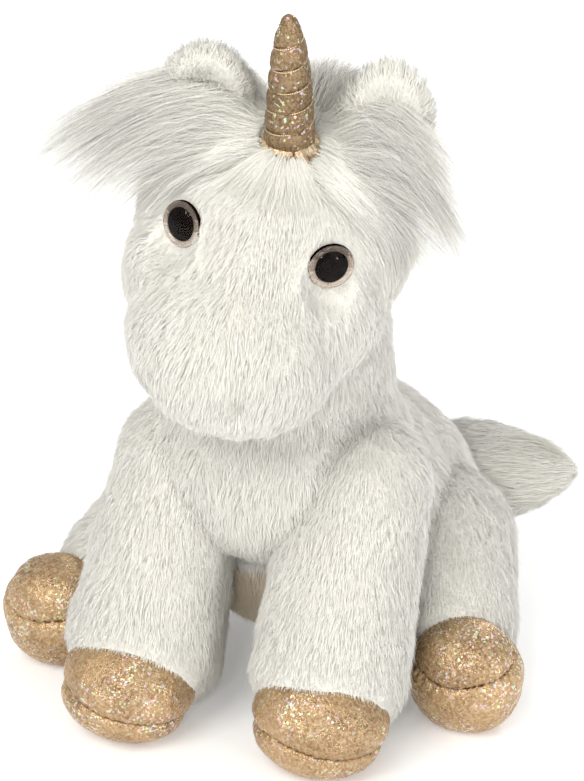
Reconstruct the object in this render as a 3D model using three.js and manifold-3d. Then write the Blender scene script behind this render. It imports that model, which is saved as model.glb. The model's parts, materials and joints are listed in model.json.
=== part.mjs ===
// A sitting plush unicorn, in millimetres: +Z is up, it faces -Y, and its left side is +X.
// Sewn covers of pile fabric hold loose stuffing. Head, neck, ears, horn, legs and tail are
// limp joints, each drawn as a ball of stuffing that turns in a pocket of its neighbour.
import * as THREE from "three";
import { ConvexGeometry } from "three/addons/geometries/ConvexGeometry.js";
import { mergeVertices } from "three/addons/utils/BufferGeometryUtils.js";
import Module from "manifold-3d";

const wasm = await Module();
wasm.setup();

// ---- driving dimensions ------------------------------------------------------------------
const CLOTH = 3.0; // pile fabric, pressed
const FOIL = 1.4; // backed glitter fabric of hooves and horn
const GAP = 0.3; // between neighbouring pieces
const PLAY = 1.0; // round a ball that turns in its pocket
const ROUND = 13; // facets round a ball
const COARSE = 10; // facets round a pocket, whose flats must still clear the ball
const PLAIN = 8; // facets round the stuffing and the inside of its cover

const TORSO = [
  { at: [1, -5, 112], r: [54, 46, 48] }, // chest
  { at: [3, 30, 70], r: [60, 52, 58] }, // belly
  { at: [6, 58, 56], r: [62, 46, 60] }, // rump, cut flat where it sits
];
const SEAT_TOP = 10; // height of the round seat panel
const BELLY_HALF = 19; // half width of the belly strip
const PELLETS = { at: [6, 54, 16], r: [30, 24, 14] };

const NECK = { at: [3, -8, 184], r: 35, foot: 142 };
const HEAD = { at: [5, -18, 212], yaw: 8, roll: 13, pitch: 6 };
const SKULL = [
  { at: [0, 0, 0], r: [52, 50, 50] }, // cranium
  { at: [0, -24, -13], r: [48, 38, 38] }, // cheeks
  { at: [0, -44, -26], r: [38, 34, 34] }, // muzzle
];
const GUSSET_HALF = 17; // half width of the strip from nose to nape
const GUSSET_FLOOR = -30; // how low that strip reaches on the muzzle
const NOD = 18; // degrees the head is free to nod, each way

const EYE = { root: [9, -6, 9.5], side: 31, rise: 4, r: 9, dome: 3.6, pin: 2.4, washer: 8 };
const EAR = { r: [15, 6, 21], lift: 16, root: 6, fold: 25 };
// Where each ear is sewn on, and how far it leans forwards and to the toy's left, in degrees.
const EARS = {
  left: { at: [35, -2, 42], lean: [4, -9] },
  right: { at: [-37, -2, 40], lean: [30, 8] },
};
const HORN = { at: [0, -17, 46.5], tip: [-9, -25, 99], r: 9.6, tipR: 2.6, turns: 6, ridge: 1.1 };
const THREAD = 0.55; // radius of the cord wound round the horn
const COLLAR = { r: 13.8, high: 2.2 };

const LEGS = {
  front_leg_left: {
    hip: [41, -18, 108], ball: 26, ankle: [39, -46, 31], end: 28, swing: [-35, 5],
    hoof: { at: [39, -60, 21], r: [27, 25, 24] }, seam: { up: -6, tilt: -6 },
  },
  front_leg_right: {
    hip: [-37, -18, 106], ball: 24.5, ankle: [-41, -46, 31], end: 28, swing: [-35, 5],
    hoof: { at: [-44, -62, 21], r: [27, 25, 24] }, seam: { up: -6, tilt: -6 },
  },
  hind_leg_left: {
    hip: [54, 40, 52], ball: 33, ankle: [71, 12, 32], end: 27, swing: [-20, 8],
    hoof: { at: [85, -11, 22], r: [24, 19, 25] }, seam: { up: 13, tilt: 24 },
  },
  hind_leg_right: {
    hip: [-52, 40, 52], ball: 34, ankle: [-76, 6, 31], end: 27, swing: [-20, 8],
    hoof: { at: [-96, -20, 22], r: [25, 20, 25] }, seam: { up: 13, tilt: 24 },
  },
};
const ANKLE_FLOOR = 3; // the leg's pile clears the ground by this much

const TAIL = { root: [16, 99, 52], ball: 13, bend: [54, 107, 60], tip: [93, 109, 65] };
const TAIL_R = { bend: 20, tip: 8 };
const TAIL_SWING = [-8, 45];

const LOCKS = {
  forelock_left: [[9, -24, 52, 9], [32, -17, 61, 8], [51, -11, 49, 8], [64, -8, 30, 6]],
  forelock_right: [[-9, -24, 50, 9], [-46, -10, 44, 9], [-70, -6, 26, 7], [-87, -1, 6, 4]],
};
const CROWN = { at: [2, 12, 46], r: [20, 24, 14] };
const [CROWN_FRONT, CROWN_REAR] = [-4, 26]; // how far the crown tuft reaches along the head
const MANE = [[0, 30, 38, 11], [0, 46, 18, 11], [0, 50, -8, 10]];

const MATERIALS = {
  fur: [0xf3f0e6, 0.95, 0],
  long_fur: [0xefece0, 0.9, 0],
  ear_plush: [0xfaf8f2, 0.95, 0],
  gold_foil: [0xb98f62, 0.45, 0.4],
  gold_thread: [0xc9a878, 0.4, 0.5],
  stuffing: [0xfbfbf8, 1, 0],
  pellet_cloth: [0xe4e2da, 0.9, 0],
  eye_clear: [0xffffff, 0.05, 0],
  eye_iris: [0x9c7a63, 0.35, 0.6],
  eye_black: [0x0b0908, 0.2, 0],
  hard_plastic: [0xe9e9e9, 0.5, 0],
};

// ---- solids -----------------------------------------------------------------------------
const rad = THREE.MathUtils.degToRad;
const vec = (a) => new THREE.Vector3(...a);

function solid(geometry) {
  const bare = geometry.clone();
  bare.deleteAttribute("normal");
  bare.deleteAttribute("uv");
  const merged = mergeVertices(bare, 1e-4);
  const corners = Array.from(merged.index.array);
  const triVerts = [];
  for (let i = 0; i < corners.length; i += 3) {
    const [a, b, c] = corners.slice(i, i + 3);
    if (a !== b && b !== c && c !== a) triVerts.push(a, b, c);
  }
  const vertProperties = merged.attributes.position.array;
  const make = (faces) =>
    new wasm.Manifold(
      new wasm.Mesh({ numProp: 3, vertProperties, triVerts: new Uint32Array(faces) }),
    );
  const made = make(triVerts);
  return made.volume() < 0 ? make(triVerts.reverse()) : made;
}

function geometryOf(made) {
  const mesh = made.getMesh();
  const geometry = new THREE.BufferGeometry();
  geometry.setAttribute("position", new THREE.BufferAttribute(mesh.vertProperties, 3));
  return geometry.setIndex(new THREE.BufferAttribute(mesh.triVerts, 1));
}

const moved = (made, matrix) => solid(geometryOf(made).applyMatrix4(matrix));

const union = (solids) => solids.reduce((all, s) => all.add(s));

// The largest connected piece, without the slivers that a cut can leave.
const largest = (s) =>
  s.decompose().reduce((big, part) => (part.volume() > big.volume() ? part : big));

function ellipsoid(at, r, facets = ROUND) {
  const g = new THREE.SphereGeometry(1, facets, Math.round(facets * 0.6));
  return g.rotateX(Math.PI / 2).scale(...r).translate(...at);
}

const ball = (at, r, facets) => ellipsoid(at, [r, r, r], facets);

// Point geometry built along +Y so that it runs from a to b.
function along(geometry, a, b) {
  const way = vec(b).sub(vec(a)).normalize();
  const turn = new THREE.Quaternion().setFromUnitVectors(new THREE.Vector3(0, 1, 0), way);
  return geometry.applyQuaternion(turn).translate(...a);
}

// Two balls of different size and the cone that wraps them.
function limb(a, b, ra, rb, facets = ROUND) {
  const length = vec(a).distanceTo(vec(b));
  const lean = Math.asin((ra - rb) / length);
  const rings = Math.round(facets / 4);
  const profile = [];
  const arc = (from, to, r, y) => {
    for (let i = 0; i <= rings; i++) {
      const t = from + ((to - from) * i) / rings;
      profile.push(new THREE.Vector2(Math.max(0, r * Math.cos(t)), y + r * Math.sin(t)));
    }
  };
  arc(-Math.PI / 2, lean, ra, 0);
  arc(lean, Math.PI / 2, rb, length);
  return along(new THREE.LatheGeometry(profile, facets), a, b);
}

function block(low, high) {
  const size = high.map((h, i) => h - low[i]);
  return new THREE.BoxGeometry(...size).translate(...low.map((l, i) => l + size[i] / 2));
}

// Radius of a faceted pocket whose flats clear a ball of radius r by PLAY.
const roomy = (r) => (r + PLAY) / Math.cos(Math.PI / COARSE) ** 2;

const FAR = 400;
const above = (z) => solid(block([-FAR, -FAR, z], [FAR, FAR, FAR]));
const below = (z) => solid(block([-FAR, -FAR, -FAR], [FAR, FAR, z]));

// Everything on one side of a plane through a point, tilted about X.
function side(point, tilt, sign) {
  const [low, high] = sign > 0 ? [0, FAR] : [-FAR, 0];
  const half = block([-FAR, -FAR, low], [FAR, FAR, high]);
  return solid(half.rotateX(rad(tilt)).translate(...point));
}

const balls = (list, inset, facets) =>
  union(list.map(({ at, r }) => solid(ellipsoid(at, r.map((x) => x - inset), facets))));

// The room that a rounded piece needs as it turns about an axis through a pivot: the hull of
// all its positions.
function sweep(geometry, pivot, axis, degrees) {
  const corner = new THREE.Vector3();
  const points = [];
  for (const angle of degrees) {
    const turn = new THREE.Quaternion().setFromAxisAngle(vec(axis), rad(angle));
    const { position } = geometry.attributes;
    for (let i = 0; i < position.count; i++) {
      corner.fromBufferAttribute(position, i).sub(vec(pivot));
      points.push(corner.clone().applyQuaternion(turn).add(vec(pivot)));
    }
  }
  return solid(new ConvexGeometry(points));
}

function steps(low, high, count) {
  return Array.from({ length: count + 1 }, (_, i) => low + ((high - low) * i) / count);
}

// ---- scene graph ------------------------------------------------------------------------
const toy = new THREE.Group();
const materials = Object.fromEntries(
  Object.entries(MATERIALS).map(([slot, [color, roughness, metalness]]) => [
    slot,
    new THREE.MeshStandardMaterial({ name: slot, color, roughness, metalness }),
  ]),
);

function add(group, name, slot, shape) {
  const geometry = geometryOf(largest(shape));
  geometry.computeVertexNormals();
  const piece = new THREE.Mesh(geometry, materials[slot]);
  piece.name = name;
  group.add(piece);
  return piece;
}

function frame(parent, at = [0, 0, 0], turn = new THREE.Euler()) {
  const group = new THREE.Group();
  group.position.set(...at);
  group.rotation.copy(turn);
  parent.add(group);
  return group;
}

// ---- legs -------------------------------------------------------------------------------
const local = (at, origin) => at.map((x, i) => x - origin[i]);

// The leg's axis of swing is level and square to the way the leg points.
function swingAxis({ hip, hoof }) {
  const out = vec(hoof.at).sub(vec(hip)).setZ(0).normalize();
  return [-out.y, out.x, 0];
}

function legShape(leg, size, facets) {
  const ankle = local(leg.ankle, leg.hip);
  return limb([0, 0, 0], ankle, size(leg.ball), size(leg.end), facets);
}

function buildLeg(name, leg) {
  const group = frame(toy, leg.hip);
  const ground = -leg.hip[2];
  const hoofAt = local(leg.hoof.at, leg.hip);
  const hoofSolid = (inset, facets) => {
    const whole = ellipsoid(hoofAt, leg.hoof.r.map((x) => x - inset), facets);
    return solid(whole).intersect(above(ground + inset));
  };
  const sleeve = (inset, facets) => {
    const whole = legShape(leg, (r) => r - inset, facets);
    return solid(whole).intersect(above(ground + ANKLE_FLOOR + inset));
  };

  const cover = sleeve(0).subtract(sleeve(CLOTH, PLAIN)).subtract(hoofSolid(-GAP));
  const cap = hoofSolid(0).subtract(hoofSolid(FOIL, PLAIN)).subtract(sleeve(CLOTH - GAP, PLAIN));
  const seamAt = [hoofAt[0], hoofAt[1], hoofAt[2] + leg.seam.up];
  const soleAt = [seamAt[0], seamAt[1], seamAt[2] - GAP];
  const filling = sleeve(CLOTH + GAP, PLAIN).add(hoofSolid(FOIL + GAP, PLAIN));

  add(group, `${name}_cover`, "fur", cover);
  add(group, `${name}_hoof_upper`, "gold_foil", cap.intersect(side(seamAt, leg.seam.tilt, 1)));
  add(group, `${name}_hoof_sole`, "gold_foil", cap.intersect(side(soleAt, leg.seam.tilt, -1)));
  add(group, `${name}_filling`, "stuffing", filling);
}

for (const [name, leg] of Object.entries(LEGS)) buildLeg(name, leg);

// ---- tail -------------------------------------------------------------------------------
function tailShape(size, facets) {
  return [
    limb(TAIL.root, TAIL.bend, size(TAIL.ball), size(TAIL_R.bend), facets),
    limb(TAIL.bend, TAIL.tip, size(TAIL_R.bend), size(TAIL_R.tip), facets),
  ];
}

function buildTail() {
  const group = frame(toy, TAIL.root);
  const part = (inset, facets = COARSE) => {
    const shapes = tailShape((r) => r - inset, facets);
    return union(shapes.map((g) => solid(g.translate(...TAIL.root.map((x) => -x)))));
  };
  const opening = solid(limb([0, 0, 0], [0, -TAIL.ball * 2, 0], 6, 6, COARSE));
  add(group, "tail_cover", "long_fur", part(0).subtract(part(CLOTH, PLAIN)).subtract(opening));
  add(group, "tail_filling", "stuffing", part(CLOTH + GAP, PLAIN));
}
buildTail();

// ---- torso ------------------------------------------------------------------------------
// Pockets in the torso for everything that moves against it.
function pockets() {
  const legs = Object.values(LEGS).map((leg) => {
    const thigh = legShape(leg, roomy, COARSE).translate(...leg.hip);
    return sweep(thigh, leg.hip, swingAxis(leg), steps(...leg.swing, 2));
  });
  const neck = new THREE.CylinderGeometry(roomy(NECK.r), roomy(NECK.r), FAR / 4, COARSE);
  const neckTop = NECK.foot - PLAY + FAR / 8;
  const neckRoom = solid(neck.rotateX(Math.PI / 2).translate(NECK.at[0], NECK.at[1], neckTop));
  const tail = tailShape(roomy, COARSE).map((g) =>
    sweep(g, TAIL.root, [0, 0, 1], steps(...TAIL_SWING, 2)),
  );
  return union([...legs, neckRoom, ...tail]);
}

function buildTorso() {
  const group = frame(toy);
  const room = pockets();
  const form = (inset, facets) => balls(TORSO, inset, facets).intersect(above(inset));
  const cover = form(0).subtract(form(CLOTH, PLAIN)).subtract(room);
  const bag = (grow) => {
    const lump = solid(ellipsoid(PELLETS.at, PELLETS.r.map((x) => x + grow), PLAIN));
    return grow > 0 ? lump : lump.intersect(form(CLOTH + GAP, PLAIN));
  };
  const [middle, backOf] = TORSO[1].at;
  const strip = (half, z) =>
    solid(block([middle - half, -FAR, z], [middle + half, backOf, FAR / 3]));
  const upper = cover.intersect(above(SEAT_TOP + GAP));
  const belly = strip(BELLY_HALF, SEAT_TOP);
  const flank = upper.subtract(strip(BELLY_HALF + GAP, SEAT_TOP - GAP));
  const left = solid(block([middle + GAP / 2, -FAR, -FAR], [FAR, FAR, FAR]));
  const right = solid(block([-FAR, -FAR, -FAR], [middle - GAP / 2, FAR, FAR]));

  add(group, "torso_side_left", "fur", flank.intersect(left));
  add(group, "torso_side_right", "fur", flank.intersect(right));
  add(group, "torso_belly", "fur", upper.intersect(belly));
  add(group, "torso_seat", "fur", cover.intersect(below(SEAT_TOP)));
  const filling = form(CLOTH + GAP, PLAIN).subtract(room).subtract(bag(GAP));
  add(group, "torso_filling", "stuffing", filling);
  add(group, "pellet_bag", "pellet_cloth", bag(0));
}
buildTorso();

// ---- neck -------------------------------------------------------------------------------
// A sleeve of fabric with a plug of stuffing, round about the axis the head turns on.
function neckShape(inset, crownInset) {
  const { r, at, foot } = NECK;
  const height = at[2] - foot;
  const low = inset ? -1 : 0;
  const profile = [new THREE.Vector2(0, low), new THREE.Vector2(r - inset, low)];
  const rings = 6;
  for (let i = 0; i <= rings; i++) {
    const t = ((Math.PI / 2) * i) / rings;
    const across = Math.max(0, (r - inset) * Math.cos(t));
    profile.push(new THREE.Vector2(across, height + (r - crownInset) * Math.sin(t)));
  }
  return new THREE.LatheGeometry(profile, ROUND + 4).rotateX(Math.PI / 2);
}

function buildNeck() {
  const foot = [NECK.at[0], NECK.at[1], NECK.foot];
  const group = frame(toy, foot);
  const rim = NECK.at[2] - NECK.foot;
  const sleeve = solid(neckShape(0, 0)).subtract(solid(neckShape(CLOTH, -CLOTH)));
  add(group, "neck_cover", "fur", sleeve.intersect(below(rim)));
  const plug = solid(neckShape(CLOTH + GAP, 0)).intersect(above(0));
  add(group, "neck_filling", "stuffing", plug);
}
buildNeck();

// ---- head -------------------------------------------------------------------------------
const headTurn = new THREE.Euler(rad(HEAD.pitch), rad(HEAD.roll), rad(HEAD.yaw), "ZYX");
const head = frame(toy, HEAD.at, headTurn);
head.updateMatrixWorld(true);
const headInverse = head.matrixWorld.clone().invert();
const inHead = (at) => vec(at).applyMatrix4(headInverse).toArray();

// Distance from a point inside the head to its surface, along a direction.
function reach(from, way) {
  const hits = SKULL.map(({ at, r }) => {
    const p = vec(from).sub(vec(at)).divide(vec(r));
    const d = way.clone().divide(vec(r));
    const [a, b, c] = [d.dot(d), p.dot(d), p.dot(p) - 1];
    const root = b * b - a * c;
    return root < 0 ? 0 : (-b + Math.sqrt(root)) / a;
  });
  return Math.max(...hits);
}

// A safety eye on its own axis, +Y: z = 0 is where the backing plate meets the cover.
const eyeProfile = (points) =>
  new THREE.LatheGeometry(points.map(([x, y]) => new THREE.Vector2(x, y)), 12);

function eyePlace(mirror) {
  const way = new THREE.Vector3(0, -Math.cos(rad(EYE.rise)), Math.sin(rad(EYE.rise)));
  way.applyAxisAngle(new THREE.Vector3(0, 0, 1), rad(EYE.side * mirror));
  const from = [EYE.root[0] * mirror, EYE.root[1], EYE.root[2]];
  const at = vec(from).addScaledVector(way, reach(from, way) - 1);
  const turn = new THREE.Quaternion().setFromUnitVectors(new THREE.Vector3(0, 1, 0), way);
  return { at: at.toArray(), turn };
}

const PLATE = 1.0; // thickness of the eye's backing plate
const PAINT = 0.5; // thickness of the iris ring and the pupil disc
const PUPIL = 0.62; // pupil radius as a share of the eye's
const SHANK = 11; // length of the pin behind the plate

function lensShape() {
  const foot = PLATE + PAINT + 2 * GAP;
  const points = [[0, foot], [EYE.r, foot]];
  const count = 5;
  for (let i = 0; i <= count; i++) {
    const t = ((Math.PI / 2) * i) / count;
    const across = Math.max(0, EYE.r * Math.cos(t));
    points.push([across, foot + GAP + EYE.dome * Math.sin(t)]);
  }
  return eyeProfile(points);
}

function buildEye(sideName, mirror) {
  const { at, turn } = eyePlace(mirror);
  const group = frame(head, at);
  group.quaternion.copy(turn);
  const r = EYE.r - 0.2;
  const pupil = r * PUPIL;
  const low = PLATE + GAP;
  const high = low + PAINT;
  add(group, `eye_${sideName}_lens`, "eye_clear", solid(lensShape()));
  const ring = [[pupil + GAP, low], [r, low], [r, high], [pupil + GAP, high], [pupil + GAP, low]];
  add(group, `eye_${sideName}_iris`, "eye_iris", solid(eyeProfile(ring)));
  const disc = [[0, low], [pupil, low], [pupil, high], [0, high]];
  add(group, `eye_${sideName}_pupil`, "eye_black", solid(eyeProfile(disc)));
  const stem = [[0, -SHANK], [EYE.pin * 0.7, -SHANK], [EYE.pin, -SHANK + 2], [EYE.pin, 0]];
  stem.push([EYE.r, 0], [EYE.r, PLATE], [0, PLATE]);
  add(group, `eye_${sideName}_shank`, "eye_black", solid(eyeProfile(stem)));
  const inner = EYE.pin + GAP;
  const back = -CLOTH - 2 * GAP;
  const dish = [[inner, back - 1.6], [EYE.washer, back - 0.8], [EYE.washer, back], [inner, back]];
  dish.push([inner, back - 1.6]);
  add(group, `eye_${sideName}_washer`, "hard_plastic", solid(eyeProfile(dish)));
}

// What an eye takes out of the cover and the stuffing behind it.
function eyeRoom(mirror) {
  const { at, turn } = eyePlace(mirror);
  const back = -CLOTH - GAP;
  const points = [[0, -SHANK - 1], [EYE.pin + 1, -SHANK - 1], [EYE.pin + 1, back - 3]];
  points.push([EYE.washer + 1, back - 3], [EYE.washer + 1, back], [EYE.pin + GAP, back]);
  points.push([EYE.pin + GAP, -GAP], [EYE.r + GAP, -GAP], [EYE.r + GAP, 20], [0, 20]);
  return solid(eyeProfile(points).applyQuaternion(turn).translate(...at));
}

// ---- ears -------------------------------------------------------------------------------
function earPlace(sideName) {
  const { at, lean } = EARS[sideName];
  return { at, turn: new THREE.Euler(rad(lean[0]), rad(lean[1]), 0, "YXZ") };
}

function earShape(size, facets) {
  const leaf = ellipsoid([0, 0, EAR.lift], EAR.r.map(size), facets);
  const half = EAR.r[0] * 0.72;
  const roll = limb([-half, 0, 0], [half, 0, 0], size(EAR.root), size(EAR.root), facets);
  return [leaf, roll];
}

function earRoom(sideName) {
  const { at, turn } = earPlace(sideName);
  const matrix = new THREE.Matrix4().makeRotationFromEuler(turn).setPosition(...at);
  const angles = steps(-EAR.fold, EAR.fold, 2);
  const rooms = earShape(roomy, COARSE).map((g) => sweep(g, [0, 0, 0], [1, 0, 0], angles));
  return union(rooms.map((room) => moved(room, matrix)));
}

function buildEar(sideName) {
  const { at, turn } = earPlace(sideName);
  const group = frame(head, at, turn);
  const ear = union(earShape((r) => r).map(solid));
  const back = solid(block([-FAR, GAP / 2, -FAR], [FAR, FAR, FAR]));
  const front = solid(block([-FAR, -FAR, -FAR], [FAR, -GAP / 2, FAR]));
  add(group, `ear_${sideName}_back`, "fur", ear.intersect(back));
  add(group, `ear_${sideName}_lining`, "ear_plush", ear.intersect(front));
}

// ---- horn -------------------------------------------------------------------------------
const hornLength = vec(HORN.tip).distanceTo(vec(HORN.at));
const hornTurn = new THREE.Quaternion().setFromUnitVectors(
  new THREE.Vector3(0, 0, 1),
  vec(HORN.tip).sub(vec(HORN.at)).normalize(),
);

// Radius at a height and an angle: a cone with one soft ridge that climbs round it.
function hornRadius(t, angle) {
  const cone = HORN.r + (HORN.tipR - HORN.r) * t ** 0.9;
  const phase = HORN.turns * t * 2 * Math.PI - angle;
  const fade = Math.min(1, t * 10) * Math.min(1, (1 - t) * 6);
  return cone + fade * HORN.ridge * (1 - 0.5 * t) * (Math.abs(Math.sin(phase / 2)) - 0.7);
}

function hornShape(inset, low, high) {
  const [rows, columns] = [24, 10];
  const points = [];
  const faces = [];
  const row = (j) => low + ((high - low) * j) / rows;
  for (let j = 0; j <= rows; j++)
    for (let i = 0; i < columns; i++) {
      const angle = (2 * Math.PI * i) / columns;
      const r = hornRadius(Math.max(0, row(j)), angle) - inset;
      points.push(r * Math.cos(angle), r * Math.sin(angle), row(j) * hornLength);
    }
  points.push(0, 0, low * hornLength, 0, 0, high * hornLength + HORN.tipR - inset);
  const [foot, tip] = [(rows + 1) * columns, (rows + 1) * columns + 1];
  for (let i = 0; i < columns; i++) {
    const k = (i + 1) % columns;
    for (let j = 0; j < rows; j++) {
      const [a, b] = [j * columns + i, j * columns + k];
      faces.push(a, b, a + columns, b, b + columns, a + columns);
    }
    faces.push(foot, k, i, tip, rows * columns + i, rows * columns + k);
  }
  const g = new THREE.BufferGeometry();
  g.setAttribute("position", new THREE.BufferAttribute(new Float32Array(points), 3));
  return g.setIndex(faces);
}

class Winding extends THREE.Curve {
  getPoint(t, target = new THREE.Vector3()) {
    const up = 0.08 + 0.8 * t;
    const angle = HORN.turns * up * 2 * Math.PI;
    const r = hornRadius(up, angle) + THREAD + 2 * GAP;
    return target.set(r * Math.cos(angle), r * Math.sin(angle), up * hornLength);
  }
}

function buildHorn() {
  const group = frame(head, HORN.at);
  group.quaternion.copy(hornTurn);
  const root = ball([0, 0, 0], HORN.r);
  const skin = solid(hornShape(0, 0, 1)).add(solid(root));
  const thread = new THREE.Shape().absarc(0, 0, THREAD, 0, 2 * Math.PI);
  const winding = new THREE.ExtrudeGeometry(thread, {
    extrudePath: new Winding(), steps: 52, curveSegments: 2, bevelEnabled: false,
  });
  const cord = solid(winding);
  const wall = FOIL + HORN.ridge;
  const core = (inset) => {
    const [wide, narrow] = [HORN.r - inset, HORN.tipR + 1.2 - inset / 2];
    return solid(limb([0, 0, 0], [0, 0, hornLength * 0.86], wide, narrow, COARSE));
  };
  const open = solid(limb([0, 0, 0], [0, 0, -HORN.r * 2], 5, 5, COARSE));
  add(group, "horn_cover", "gold_foil", skin.subtract(core(wall)).subtract(open));
  add(group, "horn_filling", "stuffing", core(wall + GAP * 2));
  add(group, "horn_thread", "gold_thread", cord);
}

const hornRoom = () => solid(ball(HORN.at, roomy(HORN.r), COARSE));

// ---- head pieces ------------------------------------------------------------------------
function buildHead() {
  const nodAxis = [1, 0, 0];
  const pivot = inHead(NECK.at);
  const foot = inHead([NECK.at[0], NECK.at[1], NECK.foot - 20]);
  const neck = limb(pivot, foot, roomy(NECK.r), roomy(NECK.r), COARSE);
  const rooms = [
    sweep(neck, pivot, nodAxis, steps(-NOD, NOD, 2)),
    eyeRoom(1), eyeRoom(-1), earRoom("left"), earRoom("right"), hornRoom(),
  ];
  const room = union(rooms);
  const form = (inset, facets) => balls(SKULL, inset, facets);
  const cover = form(0).subtract(form(CLOTH, PLAIN)).subtract(room);
  const lid = (half, z) => solid(block([-half, -FAR, z], [half, FAR, FAR]));
  const sides = cover.subtract(lid(GUSSET_HALF + GAP, GUSSET_FLOOR - GAP));
  const left = solid(block([GAP / 2, -FAR, -FAR], [FAR, FAR, FAR]));
  const right = solid(block([-FAR, -FAR, -FAR], [-GAP / 2, FAR, FAR]));

  add(head, "head_side_left", "fur", sides.intersect(left));
  add(head, "head_side_right", "fur", sides.intersect(right));
  add(head, "head_gusset", "fur", cover.intersect(lid(GUSSET_HALF, GUSSET_FLOOR)));
  add(head, "head_filling", "stuffing", form(CLOTH + GAP, PLAIN).subtract(room));
  buildHair(form(-GAP));
}

// Long pile is drawn as the lump of hair it makes, resting on the head.
function buildHair(underneath) {
  const chain = (points) =>
    union(
      points.slice(1).map(([x, y, z, r], i) => {
        const [px, py, pz, pr] = points[i];
        return solid(limb([px, py, pz], [x, y, z], pr, r, PLAIN));
      }),
    );
  const hornFree = solid(limb(HORN.at, HORN.tip, HORN.r + 3, HORN.r + 3, COARSE));
  const collarFree = solid(ball(HORN.at, COLLAR.r + 2, COARSE));
  const clear = union([underneath, earRoom("left"), earRoom("right"), hornFree, collarFree]);
  for (const [name, points] of Object.entries(LOCKS))
    add(head, name, "long_fur", chain(points).subtract(clear));
  const crown = solid(ellipsoid(CROWN.at, CROWN.r)).subtract(clear);
  const between = (front, rear) => solid(block([-FAR, front, -FAR], [FAR, rear, FAR]));
  add(head, "crown_tuft", "long_fur", crown.intersect(between(CROWN_FRONT, CROWN_REAR)));
  const mane = chain(MANE).subtract(clear);
  add(head, "mane", "long_fur", mane.intersect(between(CROWN_REAR + GAP, FAR)));
}

function buildCollar() {
  const group = frame(head, HORN.at);
  group.quaternion.copy(hornTurn);
  const inner = HORN.r + PLAY + GAP;
  const ring = [[inner, -3], [COLLAR.r, -3], [COLLAR.r - 1, COLLAR.high], [inner, COLLAR.high]];
  ring.push([inner, -3]);
  const profile = new THREE.LatheGeometry(ring.map(([x, y]) => new THREE.Vector2(x, y)), ROUND);
  profile.rotateX(Math.PI / 2);
  const under = balls(SKULL, -GAP);
  const size = new THREE.Vector3(1, 1, 1);
  const matrix = new THREE.Matrix4().compose(vec(HORN.at), hornTurn, size);
  const collar = moved(solid(profile), matrix).subtract(under);
  add(group, "horn_collar", "gold_foil", moved(collar, matrix.clone().invert()));
}

buildHead();
buildCollar();
buildHorn();
buildEye("left", 1);
buildEye("right", -1);
buildEar("left");
buildEar("right");

// The frame's origin is under the middle of the toy, on the surface it sits on.
toy.updateMatrixWorld(true);
const box = new THREE.Box3().setFromObject(toy, true);
toy.position.set(-(box.min.x + box.max.x) / 2, -(box.min.y + box.max.y) / 2, -box.min.z);

export default toy;
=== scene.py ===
import json
import math

import bmesh
import bpy
import numpy as np
from mathutils import Euler, Matrix, Vector, kdtree


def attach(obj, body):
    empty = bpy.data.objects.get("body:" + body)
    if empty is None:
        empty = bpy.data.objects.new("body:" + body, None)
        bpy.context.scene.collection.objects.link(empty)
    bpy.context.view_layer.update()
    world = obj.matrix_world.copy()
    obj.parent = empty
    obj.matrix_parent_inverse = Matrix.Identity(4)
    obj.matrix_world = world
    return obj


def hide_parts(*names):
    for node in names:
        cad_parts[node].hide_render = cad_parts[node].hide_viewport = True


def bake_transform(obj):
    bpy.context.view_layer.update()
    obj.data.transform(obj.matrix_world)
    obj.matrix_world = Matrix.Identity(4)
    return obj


# A sitting plush unicorn. Sizes are in millimetres of the toy's own design, in which its neck
# joint is at NECK_FOOT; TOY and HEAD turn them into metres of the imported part's frame.
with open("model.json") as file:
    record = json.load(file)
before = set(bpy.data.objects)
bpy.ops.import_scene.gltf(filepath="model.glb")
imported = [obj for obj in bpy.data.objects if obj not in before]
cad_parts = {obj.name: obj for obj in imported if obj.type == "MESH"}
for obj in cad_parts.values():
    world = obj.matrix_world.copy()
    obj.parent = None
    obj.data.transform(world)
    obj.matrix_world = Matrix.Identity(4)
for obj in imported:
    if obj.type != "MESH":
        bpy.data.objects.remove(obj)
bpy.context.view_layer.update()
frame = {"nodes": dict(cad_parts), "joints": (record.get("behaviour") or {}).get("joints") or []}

MM = 0.001
NECK_FOOT = Vector((3, -8, 142))
JOINT = {j["name"]: j for j in frame["joints"]}
SHIFT = Vector(JOINT["neck_turn"]["pos_m"]) - NECK_FOOT * MM
TOY = Matrix.Translation(SHIFT) @ Matrix.Scale(MM, 4)
HEAD_TURN = Euler([math.radians(a) for a in (6, 13, 8)], "XYZ").to_matrix().to_4x4()
HEAD = TOY @ Matrix.Translation((5, -18, 212)) @ HEAD_TURN

TORSO = [((1, -5, 112), (53, 45, 47)), ((3, 30, 70), (59, 51, 57)), ((6, 58, 56), (61, 45, 59))]
SKULL = [((0, 0, 0), (51.5, 49.5, 49.5)), ((0, -24, -13), (48.5, 38.5, 38.5)),
         ((0, -44, -26.5), (39, 34.5, 34.5))]
LEGS = {
    "front_leg_left": dict(
        hip=(41, -18, 108), top=26, ankle=(37.5, -46, 31), end=29.5, hoof=(39, -60, 21),
        size=(27, 25, 24), seam=(-5, -6, 8)),
    "front_leg_right": dict(
        hip=(-37, -18, 106), top=23.5, ankle=(-43, -46, 31), end=30.5, hoof=(-44, -62, 21),
        size=(27, 25, 24), seam=(-5, -6, 13)),
    "hind_leg_left": dict(
        hip=(54, 40, 52), top=33.5, ankle=(71, 12, 32), end=26, hoof=(85, -11, 22),
        size=(24, 19, 25), seam=(13, 24, 0)),
    "hind_leg_right": dict(
        hip=(-52, 40, 52), top=35, ankle=(-76, 6, 31), end=26, hoof=(-95, -20, 22.5),
        size=(23.5, 20, 25), seam=(13, 24, 0)),
}
HORN_AT, HORN_TIP = Vector((0, -17, 46.5)), Vector((-9, -25, 99))
EYE_R = 8.8
SIDES = (("left", 1), ("right", -1))
DENSITY = 1.0


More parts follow.
